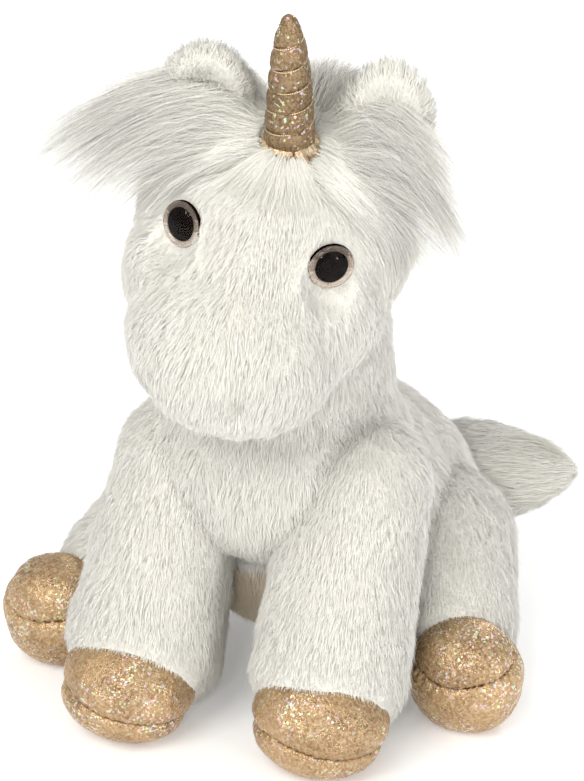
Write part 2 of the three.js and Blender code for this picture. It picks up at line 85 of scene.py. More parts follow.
# ---- numbers ----
def place(points, space):
    """Design points, one a row, as metres."""
    m = np.array(space)
    return np.asarray(points, float) @ m[:3, :3].T + m[:3, 3]


def local(points, space):
    """Points in metres as points of a space's own, the reverse of place."""
    m = np.linalg.inv(np.array(space))
    return points @ m[:3, :3].T + m[:3, 3]


def turn(directions, space):
    return unit(np.asarray(directions, float) @ np.array(space)[:3, :3].T)


def unit(v):
    return v / np.maximum(np.linalg.norm(v, axis=-1, keepdims=True), 1e-12)


def wobble(points, size, seed, parts=7):
    """Smooth vector noise from -1 to 1 that changes over about size metres."""
    rng = np.random.default_rng(seed)
    total = np.zeros((len(points), 3))
    for _ in range(parts):
        way = unit(rng.normal(size=3)) * 2 * math.pi / size * rng.uniform(0.6, 1.5)
        total += np.sin(points @ way + rng.uniform(0, 2 * math.pi))[:, None] * unit(rng.normal(size=3))
    return total * 1.6 / parts


def catmull(points, count):
    """Points (m, 3) as count points on one smooth line through them."""
    p = np.asarray(points, float)
    p = np.vstack([2 * p[0] - p[1], p, 2 * p[-1] - p[-2]])
    t = np.linspace(0, len(p) - 3, count)
    i = np.minimum(t.astype(int), len(p) - 4)
    f = (t - i)[:, None]
    a, b, c, d = p[i], p[i + 1], p[i + 2], p[i + 3]
    return 0.5 * (2 * b + (c - a) * f + (2 * a - 5 * b + 4 * c - d) * f**2 + (3 * b - a - 3 * c + d) * f**3)


# ---- materials ----
def material(name, color, roughness, metallic=0.0, **more):
    made = bpy.data.materials.new(name)
    made.use_nodes = True
    shader = made.node_tree.nodes["Principled BSDF"]
    shader.inputs["Base Color"].default_value = (*color, 1)
    shader.inputs["Roughness"].default_value = roughness
    shader.inputs["Metallic"].default_value = metallic
    for key, value in more.items():
        shader.inputs[key.replace("_", " ")].default_value = value
    return made


class Nodes:
    """Short names for building a material's node tree."""

    def __init__(self, made):
        self.tree = made.node_tree
        self.shader = self.tree.nodes["Principled BSDF"]
        self.coords = self.add("ShaderNodeTexCoord").outputs["Object"]

    def add(self, kind, **values):
        node = self.tree.nodes.new(kind)
        for key, value in values.items():
            if hasattr(node, key):
                setattr(node, key, value)
            else:
                node.inputs[key.replace("_", " ")].default_value = value
        return node

    def link(self, a, b):
        self.tree.links.new(a, b)

    def noise(self, scale, detail):
        node = self.add("ShaderNodeTexNoise", Scale=scale, Detail=detail)
        self.link(self.coords, node.inputs["Vector"])
        return node.outputs["Fac"]

    def cells(self, scale, out="Color", **values):
        node = self.add("ShaderNodeTexVoronoi", Scale=scale, **values)
        self.link(self.coords, node.inputs["Vector"])
        return node.outputs[out]

    def ramp(self, fac, stops):
        node = self.add("ShaderNodeValToRGB")
        bar = node.color_ramp.elements
        while len(bar) < len(stops):
            bar.new(0.5)
        for stop, (at, color) in zip(bar, stops):
            stop.position = at
            stop.color = (*color, 1)
        self.link(fac, node.inputs["Fac"])
        return node.outputs["Color"]

    def feed(self, value, socket):
        """Sets a socket to a number or colour, or links another node's output to it."""
        if hasattr(value, "is_output"):
            self.link(value, socket)
        else:
            socket.default_value = (*value, 1) if isinstance(value, tuple) else value

    def mix(self, fac, a, b):
        node = self.add("ShaderNodeMix", data_type="RGBA")
        for value, socket in ((fac, node.inputs[0]), (a, node.inputs[6]), (b, node.inputs[7])):
            self.feed(value, socket)
        return node.outputs[2]

    def math(self, operation, a, b):
        node = self.add("ShaderNodeMath", operation=operation)
        self.feed(a, node.inputs[0])
        self.feed(b, node.inputs[1])
        return node.outputs[0]

    def bump(self, height, strength, distance):
        node = self.add("ShaderNodeBump", Strength=strength, Distance=distance)
        self.link(height, node.inputs["Height"])
        self.link(node.outputs["Normal"], self.shader.inputs["Normal"])

    def color(self, socket):
        self.link(socket, self.shader.inputs["Base Color"])


def backing(name, light, dark):
    """Knitted ground of a pile fabric, with a mottle of painted light and shade for pile lying this way and
    that.
    """
    made = material(name, light, 0.95, Sheen_Weight=0.3, Sheen_Roughness=0.6)
    n = Nodes(made)
    painted_nap_shade = n.noise(160, 6.0)
    # The mottle between the light and dark tones is painted shade of the pile's lay, not a colour of the
    # ground.
    n.color(n.ramp(painted_nap_shade, [(0.35, dark), (0.62, light)]))
    n.bump(n.noise(900, 3.0), 0.5, 0.0006)
    return made


def foil(name, base, deep, fleck, rare=0.84):
    """Glitter fabric: a fine woven ground under flakes that catch the light in colours."""
    made = material(name, base, 0.4, 0.62)
    n = Nodes(made)
    cloudy = n.ramp(n.noise(55, 5.0), [(0.36, deep), (0.6, base)])
    flake = n.cells(1150)
    split = n.add("ShaderNodeSeparateColor")
    n.link(flake, split.inputs["Color"])
    lit = n.math("GREATER_THAN", split.outputs["Red"], rare)
    rainbow = n.add("ShaderNodeCombineColor", mode="HSV", Green=0.45, Blue=0.95)
    n.link(split.outputs["Green"], rainbow.inputs[0])
    patch = n.ramp(n.noise(42, 3.0), [(0.42, (0, 0, 0)), (0.56, (1, 1, 1))])
    shown = n.math("MULTIPLY", lit, patch)
    speck = n.mix(0.62, fleck, rainbow.outputs["Color"])
    tinted = n.mix(n.math("MULTIPLY", split.outputs["Blue"], 0.42), cloudy, fleck)
    n.color(n.mix(n.math("MULTIPLY", shown, 0.85), tinted, speck))
    gloss = n.ramp(split.outputs["Green"], [(0.1, (0.26,) * 3), (0.8, (0.52,) * 3)])
    n.link(gloss, n.shader.inputs["Roughness"])
    weave = n.cells(1500, "Distance")
    n.bump(n.math("ADD", n.math("MULTIPLY", split.outputs["Blue"], 0.9), weave), 0.55, 0.00035)
    return made


CREAM, IVORY, SHADE = (0.96, 0.94, 0.872), (0.945, 0.922, 0.842), (0.925, 0.895, 0.805)
PILE = [
    material("pile_white", CREAM, 0.85, Sheen_Weight=0.25),
    material("pile_ivory", IVORY, 0.85, Sheen_Weight=0.25),
    material("pile_shade", SHADE, 0.9, Sheen_Weight=0.2),
]
# Brown pile for the low front of the belly: painted shade for the shadow between the legs, not a colour of
# the plush.
PAINTED_SHADE_PILE = [
    material("pile_painted_shade", (0.81, 0.70, 0.54), 0.95),
    material("pile_painted_shade_deep", (0.73, 0.61, 0.45), 0.95),
]
LONG = [
    material("hair_white", (0.955, 0.94, 0.87), 0.7, Sheen_Weight=0.2),
    material("hair_ivory", (0.935, 0.912, 0.82), 0.7, Sheen_Weight=0.2),
    material("hair_ash", (0.68, 0.68, 0.655), 0.7),
    material("hair_smoke", (0.27, 0.275, 0.29), 0.7),
]
GROUND = backing("pile_ground", (0.95, 0.93, 0.855), (0.92, 0.89, 0.80))
EAR_GROUND = backing("ear_ground", (0.94, 0.925, 0.87), (0.87, 0.845, 0.78))
GOLD = foil("gold_foil", (0.40, 0.245, 0.115), (0.23, 0.125, 0.052), (0.86, 0.67, 0.42))
HORN_GOLD = foil("gold_foil_horn", (0.215, 0.135, 0.066), (0.115, 0.066, 0.03), (0.56, 0.42, 0.25), 0.93)
# Darker foil for the horn's creases: painted shade in the grooves, over the creases the horn's shape already
# has.
CREASE_SHADE_FOIL = foil("gold_foil_crease_painted_shade", (0.15, 0.09, 0.043), (0.09, 0.052, 0.025), (0.42, 0.30, 0.17), 0.97)
PALE_GOLD = foil("gold_foil_pale", (0.66, 0.49, 0.30), (0.45, 0.30, 0.16), (1.0, 0.90, 0.70))


def twisted(name, base, dark):
    made = material(name, base, 0.35, 0.55)
    n = Nodes(made)
    ply = n.add("ShaderNodeTexWave", Scale=420.0, Distortion=2.0)
    n.link(n.coords, ply.inputs["Vector"])
    n.color(n.ramp(ply.outputs["Fac"], [(0.2, dark), (0.8, base)]))
    n.bump(ply.outputs["Fac"], 0.6, 0.0002)
    return made


def iris(name, deep, middle, bright):
    made = material(name, middle, 0.35, 0.3)
    n = Nodes(made)
    crackle = n.cells(1500, "Distance", feature="DISTANCE_TO_EDGE")
    streaks = n.noise(700, 6.0)
    tone = n.math("ADD", n.math("MULTIPLY", crackle, 5.0), n.math("MULTIPLY", streaks, 0.6))
    n.color(n.ramp(tone, [(0.25, deep), (0.5, middle), (0.85, bright)]))
    n.bump(crackle, 0.5, 0.0002)
    return made


def speckled(name, base, dark, roughness, scale, **more):
    made = material(name, base, roughness, **more)
    n = Nodes(made)
    grain = n.noise(scale, 6.0)
    n.color(n.ramp(grain, [(0.35, dark), (0.65, base)]))
    n.bump(grain, 0.4, 0.0004)
    return made


CORD = twisted("gold_thread", (0.86, 0.70, 0.47), (0.42, 0.28, 0.14))
LENS = material("eye_clear", (1, 1, 1), 0.08, Transmission_Weight=1.0, IOR=1.22)
# One iris in three tones, lighter to darker: painted light and shade, laid on the ring from its foot to its
# top.
IRIS_PAINTED_SHADES = [
    iris("eye_iris_painted_lit", (0.20, 0.13, 0.09), (0.52, 0.39, 0.30), (0.82, 0.72, 0.62)),
    iris("eye_iris_painted_half_shade", (0.07, 0.043, 0.032), (0.22, 0.15, 0.115), (0.50, 0.40, 0.32)),
    iris("eye_iris_painted_shade", (0.02, 0.013, 0.01), (0.06, 0.04, 0.031), (0.22, 0.17, 0.135)),
]
BLACK = speckled("eye_black", (0.003, 0.0015, 0.001), (0.006, 0.003, 0.002), 0.6, 300, Specular_IOR_Level=0.0)
STUFFING = speckled("stuffing", (0.92, 0.92, 0.90), (0.80, 0.80, 0.78), 1.0, 420)
CALICO = speckled("pellet_cloth", (0.80, 0.78, 0.71), (0.66, 0.64, 0.57), 0.9, 1200)
WASHER = speckled("hard_plastic", (0.83, 0.83, 0.82), (0.76, 0.76, 0.75), 0.45, 500)


# ---- mesh work ----
def around(sides):
    return np.arange(sides) * 2 * math.pi / sides


def circles(u, v, sides):
    """A ring of unit vectors across each pair of rows of u and v: (rows, sides, 3)."""
    angle = around(sides)
    return u[:, None] * np.cos(angle)[None, :, None] + v[:, None] * np.sin(angle)[None, :, None]


def wall(rows, sides, closed=False):
    """Triangles between rings of points, each ring's points in a row after the last ring's."""
    faces = []
    for j in range(rows if closed else rows - 1):
        for i in range(sides):
            a, b = j * sides + i, j * sides + (i + 1) % sides
            c, d = ((j + 1) % rows) * sides + i, ((j + 1) % rows) * sides + (i + 1) % sides
            faces += [(a, b, d), (a, d, c)]
    return faces


def shell(rows, sides):
    """A wall closed at both ends on two more points, the foot and then the head."""
    foot, top = rows * sides, (rows - 1) * sides
    ends = [(foot, (i + 1) % sides, i) for i in range(sides)]
    return wall(rows, sides) + ends + [(foot + 1, top + i, top + (i + 1) % sides) for i in range(sides)]


def new_object(name, data, materials=()):
    made = bpy.data.objects.new(name, data)
    bpy.context.scene.collection.objects.link(made)
    for m in materials:
        data.materials.append(m)
    return made


def rounded(mesh):
    mesh.polygons.foreach_set("use_smooth", np.full(len(mesh.polygons), True))


def mesh_of(name, points, faces, slots=None):
    """A mesh from arrays: points (n, 3) and triangles (m, 3)."""
    mesh = bpy.data.meshes.new(name)
    mesh.vertices.add(len(points))
    mesh.vertices.foreach_set("co", np.asarray(points, np.float32).ravel())
    mesh.loops.add(faces.size)
    mesh.loops.foreach_set("vertex_index", faces.astype(np.int32).ravel())
    mesh.polygons.add(len(faces))
    mesh.polygons.foreach_set("loop_start", np.arange(0, faces.size, 3, dtype=np.int32))
    if slots is not None:
        mesh.polygons.foreach_set("material_index", np.asarray(slots, np.int32))
    rounded(mesh)
    mesh.update(calc_edges=True)
    return mesh


def points_of(mesh):
    co = np.empty(len(mesh.vertices) * 3, np.float32)
    mesh.vertices.foreach_get("co", co)
    return co.reshape(-1, 3).astype(float)


def set_points(mesh, points):
    mesh.vertices.foreach_set("co", np.asarray(points, np.float32).ravel())
    mesh.update()


def normals_of(mesh):
    n = np.empty(len(mesh.vertices) * 3, np.float32)
    mesh.vertex_normals.foreach_get("vector", n)
    return n.reshape(-1, 3).astype(float)


def triangles_of(mesh):
    mesh.calc_loop_triangles()
    t = np.empty(len(mesh.loop_triangles) * 3, np.int32)
    mesh.loop_triangles.foreach_get("vertices", t)
    return t.reshape(-1, 3)


def tapered(a, b, ra, rb, count=14):
    """Balls along a limb from a to b."""
    a, b = np.array(a, float), np.array(b, float)
    return [(tuple(a + (b - a) * t), (ra + (rb - ra) * t,) * 3) for t in np.linspace(0, 1, count)]


def form(name, lumps, space, voxel, smooth):
    """One smooth closed skin round a set of ellipsoids, each (centre, radii)."""
    bm = bmesh.new()
    for at, r in lumps:
        matrix = space @ Matrix.Translation(at) @ Matrix.Diagonal((*r, 1))
        bmesh.ops.create_icosphere(bm, subdivisions=4, radius=1, matrix=matrix)
    mesh = bpy.data.meshes.new(name)
    bm.to_mesh(mesh)
    bm.free()
    rough = new_object(name + "_rough", mesh)
    remesh = rough.modifiers.new("remesh", "REMESH")
    remesh.mode = "VOXEL"
    remesh.voxel_size = voxel * MM
    relax = rough.modifiers.new("relax", "SMOOTH")
    relax.factor, relax.iterations = 0.5, smooth
    bpy.context.view_layer.update()
    done = bpy.data.meshes.new_from_object(rough.evaluated_get(bpy.context.evaluated_depsgraph_get()))
    bpy.data.objects.remove(rough)
    done.name = name
    rounded(done)
    return done


def settle(points, floor, soft):
    """Flattens what is near or under a floor, with a rounded edge of the given softness."""
    z = points[:, 2] - floor
    out = points.copy()
    out[:, 2] = floor + 0.5 * (z + np.sqrt(z * z + soft * soft))
    return out


def woolly(mesh, amount, size, seed):
    """Pushes a skin in and out a little, as stuffing lies unevenly under it."""
    p, n = points_of(mesh), normals_of(mesh)
    push = wobble(p, size, seed)[:, 0] + 0.5 * wobble(p, size / 3, seed + 1)[:, 0]
    set_points(mesh, p + n * (push * amount)[:, None])


# ---- fibres ----
MOST_FIBRES = 19500  # in one piece of short pile
MOST_TRIANGLES = 190000  # in one piece of long hair
LEAST_HEIGHT = 0.3 * MM  # of a fibre over the ground
GUIDE_STEPS = 40  # of the line that hairs run along


def fibres(name, paths, radii, slots, materials, lay, tips=None, share=0.86):
    """Closed three-sided fibres along paths (n, k, 3), each ending in a point.

    A share of their shading follows lay, the normals of what they grow on, as in fine pile.
    Where tips isn't below zero it is the material of a fibre's last third."""
    n, k, _ = paths.shape
    way = unit(paths[:, -1] - paths[:, 0])
    rng = np.random.default_rng(len(name) * 977 + n)
    u = unit(np.cross(way, unit(rng.normal(size=(n, 3)))))
    v = np.cross(way, u)
    ring = circles(u, v, 3)
    rings = paths[:, :-1, None] + radii[:, :-1, None, None] * ring[:, None]
    points = np.concatenate([rings.reshape(n, -1, 3), paths[:, -1:]], axis=1)
    faces = [(0, 2, 1)] + wall(k - 1, 3)
    last = 3 * (k - 2)
    faces += [(last + i, last + (i + 1) % 3, last + 3) for i in range(3)]
    faces = np.array(faces)
    size = 3 * (k - 1) + 1
    every = (faces[None] + (np.arange(n) * size)[:, None, None]).reshape(-1, 3)
    slots = np.repeat(slots[:, None], len(faces), 1)
    if tips is not None:
        end = faces.max(1) >= 3 * (k - 1) * 2 // 3
        slots = np.where(end[None] & (tips[:, None] >= 0), tips[:, None], slots)
    mesh = mesh_of(name, points.reshape(-1, 3), every, slots.ravel())
    side = np.concatenate([np.tile(ring, (1, k - 1, 1)), lay[:, None]], axis=1)
    soft = unit(share * lay[:, None] + (1 - share) * side)
    normal = mesh.attributes.new("custom_normal", "FLOAT_VECTOR", "POINT")
    normal.data.foreach_set("vector", soft.astype(np.float32).ravel())
    mesh.update()
    return new_object(name, mesh, materials)


def scatter(mesh, per_mm2, rng, keep=None):
    """Random points on a mesh with their normals."""
    p, n, t = points_of(mesh), normals_of(mesh), triangles_of(mesh)
    a, b, c = p[t[:, 0]], p[t[:, 1]], p[t[:, 2]]
    area = np.linalg.norm(np.cross(b - a, c - a), axis=1) / 2
    count = int(area.sum() / MM**2 * per_mm2 * DENSITY)
    pick = rng.choice(len(t), count, p=area / area.sum())
    r1, r2 = np.sqrt(rng.random(count)), rng.random(count)
    w = np.stack([1 - r1, r1 * (1 - r2), r1 * r2], 1)[:, :, None]
    points = (p[t[pick]] * w).sum(1)
    normals = unit((n[t[pick]] * w).sum(1))
    if keep is not None:
        chosen = keep(points, normals)
        points, normals = points[chosen], normals[chosen]
    return points, normals


def pile(name, mesh, comb, seed, length=8.0, lean=63, per_mm2=1.93, thick=0.12, keep=None,
         clump=0.25, curl=0.4, share=0.92, tone=(0.62, 0.32, 0.06), trim=None, materials=PILE):
    """Short pile on a skin, combed along comb(points, normals) and gathered in small clumps.

    Returns pieces that each hold a part of its fibres."""
    rng = np.random.default_rng(seed)
    p, n = scatter(mesh, per_mm2, rng, keep)
    count = len(p)
    flow = comb(p, n) + curl * wobble(p, 0.016, seed + 1) + 0.6 * curl * wobble(p, 0.006, seed + 2)
    flow += rng.normal(scale=0.15, size=(count, 3))
    along = unit(flow - n * (flow * n).sum(1)[:, None])
    size = length * MM * rng.uniform(0.7, 1.15, count) * (1 + 0.16 * wobble(p, 0.02, seed + 3)[:, 0])
    if trim is not None:
        size = size * trim(p)
    tilt = np.radians(lean) * (1 + 0.2 * wobble(p, 0.012, seed + 4)[:, 1]) + rng.normal(scale=0.1, size=count)
    near, far = np.clip(tilt * 0.7, 0, 1.5)[:, None], np.clip(tilt * 1.3, 0, 1.75)[:, None]
    half = size[:, None] * 0.5
    mid = p + half * (n * np.cos(near) + along * np.sin(near))
    tip = mid + half * (n * np.cos(far) + along * np.sin(far))
    leaders = np.arange(0, count, 16)
    tree = kdtree.KDTree(len(leaders))
    for k, i in enumerate(leaders):
        tree.insert(p[i], k)
    tree.balance()
    own = leaders[np.array([tree.find(q)[1] for q in p])] if count else leaders
    pull = clump * rng.uniform(0.5, 1.1, count)[:, None]
    apart = p - p[own]
    mid += pull * 0.45 * (mid[own] + apart * 0.7 - mid)
    tip += pull * (tip[own] + apart * 0.25 - tip)
    for q in (mid, tip):
        q[:, 2] = np.maximum(q[:, 2], LEAST_HEIGHT)
    paths = np.stack([p - n * 0.8 * MM, mid, tip], 1)
    radii = thick * MM * rng.uniform(0.75, 1.2, count)[:, None] * np.array([1.0, 0.8, 0.0])
    slots = rng.choice(len(tone), count, p=np.array(tone) / sum(tone))
    slots = np.where(rng.random(count) < 0.55, slots[own], slots)
    parts = np.array_split(np.arange(count), math.ceil(count / MOST_FIBRES))
    return [fibres(f"{name}_{k + 1}", paths[rows], radii[rows], slots[rows], materials, n[rows], share=share)
            for k, rows in enumerate(parts)]


def hair(name, guides, count, seed, space, core, spread=3.0, tight=0.5, start=(0, 0.25), finish=(0.72, 1.0),
         thick=0.085, steps=7, wave=1.0, share=0.45, tone=(0.68, 0.24, 0.06, 0.02), frost=0.25,
         lift=None, groups=40, flare=1.6):
    """Long hairs between neighbouring guide lines, in locks that part towards the tips."""
    rng = np.random.default_rng(seed)
    count = max(12, int(count * (1.0)))
    lines = np.array([place(catmull(g, GUIDE_STEPS + 1), space) for g in guides])
    across = rng.random(groups) * (len(guides) - 1)
    lock = rng.integers(0, groups, count)
    a = np.clip(across[lock] + rng.normal(scale=0.22, size=count), 0, len(guides) - 1.001)
    i = a.astype(int)
    f = (a - i)[:, None, None]
    s0 = rng.uniform(*start, count)
    s1 = np.clip(rng.uniform(*finish, groups)[lock] + rng.normal(scale=0.06, size=count), 0.3, 1.0)
    s = s0[:, None] + (s1 - s0)[:, None] * np.linspace(0, 1, steps + 1)
    row = s * GUIDE_STEPS
    j = np.minimum(row.astype(int), GUIDE_STEPS - 1)
    g = (row - j)[:, :, None]
    which = i[:, None]
    low = lines[which, j] * (1 - g) + lines[which, j + 1] * g
    high = lines[which + 1, j] * (1 - g) + lines[which + 1, j + 1] * g
    paths = low * (1 - f) + high * f
    t = np.linspace(0, 1, steps + 1)[None, :, None]
    shared = unit(rng.normal(size=(groups, 3))) * rng.random(groups)[:, None] ** 0.5
    own = unit(rng.normal(size=(count, 3))) * rng.random(count)[:, None] ** 0.5
    body = 0.45 + 0.8 * np.sin(np.pi * np.clip(t * 0.75, 0, 1))
    drift = unit(rng.normal(size=(groups, 3)))[lock][:, None] * t**2 * flare
    stray = unit(rng.normal(size=(count, 3)))[:, None] * t**2 * flare * 0.9
    paths += MM * spread * (shared[lock][:, None] * body + own[:, None] * tight * (1 - 0.45 * t))
    paths += MM * (drift + stray)
    flat = paths.reshape(-1, 3)
    paths += (wobble(flat, 0.02, seed + 5) * MM * wave).reshape(paths.shape) * t
    if lift is not None:
        paths = lift(paths, rng, a)
        count = len(paths)
    paths[..., 2] = np.maximum(paths[..., 2], LEAST_HEIGHT)
    taper = np.concatenate([np.linspace(1, 0.45, steps), [0]])
    radii = thick * MM * rng.uniform(0.7, 1.2, count)[:, None] * taper
    slots = rng.choice(len(tone), count, p=np.array(tone) / sum(tone))
    tips = np.where(rng.random(count) < frost, rng.choice([2, 2, 3], count), -1)
    middle, line = paths[:, steps // 2], place(core, space)
    nearest = np.argmin(np.linalg.norm(middle[:, None] - line[None], axis=2), 1)
    lay = unit(middle - line[nearest])
    most = MOST_TRIANGLES // (6 * (steps - 1) + 4)
    parts = np.array_split(np.arange(count), math.ceil(count / most))
    return [fibres(f"{name}_{k + 1}", paths[r], radii[r], slots[r], LONG, lay[r], tips[r], share)
            for k, r in enumerate(parts)]


# ---- combing ----
def down(p, n):
    return np.array([0.0, -0.12, -1.0])


def outside(lumps, space=TOY):
    """A test that is true where a point is outside all of the ellipsoids."""

    def test(p):
        q = local(p, space)
        clear = np.full(len(p), True)
        for at, r in lumps:
            clear &= (((q - np.array(at)) / np.array(r)) ** 2).sum(1) > 1
        return clear

    return test


# ---- eyes, which the fur of the face parts round ----
def reach(start, way):
    """How far the head's surface is from a point in it, along a direction."""
    best = 0.0
    for at, r in SKULL:
        r = np.array(r) + 1
        p, d = (start - np.array(at)) / r, way / r
        a, b, c = d @ d, p @ d, p @ p - 1
        if b * b > a * c:
            best = max(best, (-b + math.sqrt(b * b - a * c)) / a)
    return best


def eye_space(mirror, root, sunk):
    """An eye's own frame: its axis is +Z and z = 0 is sunk this far into the face."""
    side, rise = math.radians(31) * mirror, math.radians(4)
    way = np.array([math.cos(rise) * math.sin(side), -math.cos(rise) * math.cos(side), math.sin(rise)])
    start = np.array(root)
    at = start + way * (reach(start, way) - sunk)
    return HEAD @ Matrix.Translation(at) @ Vector(way).to_track_quat("Z", "Y").to_matrix().to_4x4()


EYES = {"left": eye_space(1, (8, -6, 10.5), 2.3), "right": eye_space(-1, (-9, -6, 9.5), 3.0)}
EYE_AT = {k: np.array(m.translation) for k, m in EYES.items()}


def lathe(name, profile, space, sides=64, closed=False):
    """A solid of revolution round +Z from points (radius, height), first and last on the axis."""
    prof = np.array(profile, float)
    angle = around(sides)
    rows = prof if closed else prof[1:-1]
    ring = np.stack([np.outer(rows[:, 0], np.cos(angle)), np.outer(rows[:, 0], np.sin(angle)),
                     np.repeat(rows[:, 1:], sides, 1)], 2).reshape(-1, 3)
    if not closed:
        ring = np.vstack([ring, [0, 0, prof[0, 1]], [0, 0, prof[-1, 1]]])
    faces = wall(len(rows), sides, True) if closed else shell(len(rows), sides)
    return mesh_of(name, place(ring, space), np.array(faces))


def painted_iris_shade(mesh, space):
    """Which iris colour each face has: pale at the foot of the ring, darker towards its top, painted shade
    for the fur above the eye.
    """
    middle = np.array([p.center for p in mesh.polygons])
    away = unit(middle - np.array(space.translation))[:, 2]
    ragged = wobble(middle, 0.0018, 3)[:, 0] * 0.35
    return np.digitize(away + ragged, [-0.15, 0.45]).astype(np.int32)


DOME_FOOT, DOME_EDGE, DOME_RISE = 0.5, 1.2, 4.0  # heights in an eye's own frame
PUPIL_R, DISC_FOOT, SHANK_LONG = 6.0, 0.3, 12


def make_eye(side):
    space = EYES[side]
    dome = [(0, DOME_FOOT), (EYE_R - 0.25, DOME_FOOT), (EYE_R, 0.8), (EYE_R, DOME_EDGE)]
    dome += [(EYE_R * math.cos(t), DOME_EDGE + DOME_RISE * math.sin(t))
             for t in np.linspace(0.08, math.pi / 2, 22)[:-1]]
    dome += [(0, DOME_EDGE + DOME_RISE)]
    lens = new_object(f"eye_{side}_dome", lathe("dome", dome, space), [LENS])
    inner, outer = PUPIL_R + 0.1, EYE_R - 0.15
    ring = [(inner, DISC_FOOT), (outer, DISC_FOOT), (outer, 0.7), (7.6, 0.9), (inner, 0.8)]
    mesh = lathe("ring", ring, space, sides=180, closed=True)
    band = new_object(f"eye_{side}_iris_ring", mesh, IRIS_PAINTED_SHADES)
    # The ring's faces take darker iris copies towards its top: painted shade.
    mesh.polygons.foreach_set("material_index", painted_iris_shade(mesh, space))
    disc = [(0, DISC_FOOT), (PUPIL_R, DISC_FOOT), (6.05, 0.5), (5.8, 0.85), (0, 0.9)]
    spot = new_object(f"eye_{side}_pupil_disc", lathe("disc", disc, space), [BLACK])
    rim = [(0.0, -0.6), (0.1, -0.4), (0.16, 0.6), (0.1, 0.95), (0.02, 1.0), (-0.02, 0.4), (-0.3, 0.2)]
    shank = [(0, -SHANK_LONG), (2.0, -SHANK_LONG), (2.4, -11.4), (2.4, -1.2)]
    shank += [(EYE_R + out, high) for out, high in rim] + [(0, 0.2)]
    edge = new_object(f"eye_{side}_rim", lathe("rim", shank, space), [BLACK])
    parts = [(lens, "lens", "eye_clear"), (band, "iris", "eye_iris"), (spot, "pupil", "eye_black"),
             (edge, "shank", "eye_black")]
    for piece, node, slot in parts:
        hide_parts(f"eye_{side}_{node}")
        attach(piece, "head")


# ---- fur-covered body ----
def finish_pile(pieces, body):
    for piece in pieces:
        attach(piece, body)


def finish_cover(piece, body, nodes):
    finish_pile([piece], body)
    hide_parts(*nodes)


# Top and front bounds of the belly's painted shade.
UNDER_TOP, UNDER_FRONT = 62 * MM, -8 * MM


def under(p):
    """The low front of the belly, between the legs, where little light reaches; its pile is painted brown
    there as shade.
    """
    ragged = wobble(p, 0.012, 9)[:, 0] * 3 * MM
    return (p[:, 2] + ragged < UNDER_TOP) & (p[:, 1] < UNDER_FRONT)


def make_torso():
    mesh = form("torso_cover", TORSO, TOY, 2.4, 10)
    set_points(mesh, settle(points_of(mesh), 0.6 * MM, 1.5 * MM))
    woolly(mesh, 0.7 * MM, 0.035, 11)
    set_points(mesh, np.maximum(points_of(mesh), [-9, -9, 0.4 * MM]))
    cover = new_object("torso_cover", mesh, [GROUND])
    panels = ["torso_side_left", "torso_side_right", "torso_belly", "torso_seat"]
    finish_cover(cover, "torso", panels)
    hidden = [(leg["hip"], (leg["top"] - 7,) * 3) for leg in LEGS.values()]
    hidden += [((3, -8, 150), (30, 26, 16))]
    clear = outside(hidden)
    keep = lambda p, n: clear(p) & ((p[:, 2] > 3 * MM) | (n[:, 2] > -0.8))
    for part, sign in SIDES:
        half = lambda p, n, sign=sign: keep(p, n) & ((p[:, 0] - SHIFT.x - 3 * MM) * sign >= 0)
        furry = pile(f"torso_pile_{part}", mesh, down, 20 + sign, keep=lambda p, n: half(p, n) & ~under(p))
        # Pile under the belly takes the brown materials: painted shade.
        shade_painted_pile = pile(f"torso_under_pile_{part}", mesh, down, 24 + sign, tone=(0.6, 0.4), materials=PAINTED_SHADE_PILE,
                   keep=lambda p, n: half(p, n) & under(p))
        finish_pile(furry + shade_painted_pile, "torso")


def make_neck():
    mesh = form("neck_cover", tapered((3, -6, 196), (2, -2, 122), 38, 44), TOY, 2.4, 8)
    cover = new_object("neck_cover_skin", mesh, [GROUND])
    clear = outside(SKULL_SMALL, HEAD)
    low = lambda p, n: clear(p) & (p[:, 2] > 100 * MM)
    furry = pile("neck_pile", mesh, down, 31, keep=low)
    for piece in (cover, *furry):
        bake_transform(piece)
    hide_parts("neck_cover")


SKULL_SMALL = [(at, tuple(x - 6 for x in r)) for at, r in SKULL]


EYE_PARTING = 13 * MM  # from an eye's middle


def face_comb(p, n):
    """Pile of the face falls from the horn to the chin, and parts round the eyes."""
    flow = unit(p - place([(0, -30, 62)], HEAD)[0]) + 0.6 * turn([(0, -0.25, -1)], HEAD)[0]
    for at in EYE_AT.values():
        far = np.linalg.norm(p - at, axis=1)[:, None]
        flow += 1.5 * unit(p - at) * np.exp(-((far / EYE_PARTING) ** 4))
    return flow


def socket(mesh, space):
    """Presses a skin in where an eye sits on it."""
    q = local(points_of(mesh), space)
    across = np.hypot(q[:, 0], q[:, 1])
    most = np.interp(across, [EYE_R - 0.8, EYE_R + 0.5, 12, 16, 20], [-0.9, 1.0, 3.0, 8, 15])
    near = (across < 20) & (np.abs(q[:, 2]) < 12)
    q[:, 2] = np.where(near, np.minimum(q[:, 2], most), q[:, 2])
    set_points(mesh, place(q, space))


MUZZLE_SEAM = [(8, -77, -17), (12, -76, -36)]


def cleft(mesh):
    """Draws the skin in along the short seam under the nose, most at its foot."""
    p, n = points_of(mesh), normals_of(mesh)
    top, foot = place(MUZZLE_SEAM, HEAD)
    way = foot - top
    t = np.clip((p - top) @ way / (way @ way), 0, 1)
    far = np.linalg.norm(p - top - t[:, None] * way, axis=1)
    depth = (1.5 + 2.5 * t) * np.exp(-((far / (3.8 * MM)) ** 2))
    set_points(mesh, p - n * (depth * MM)[:, None])


UNDER_HORN, IN_NECK = 9 * MM, 30 * MM  # where the head has no pile


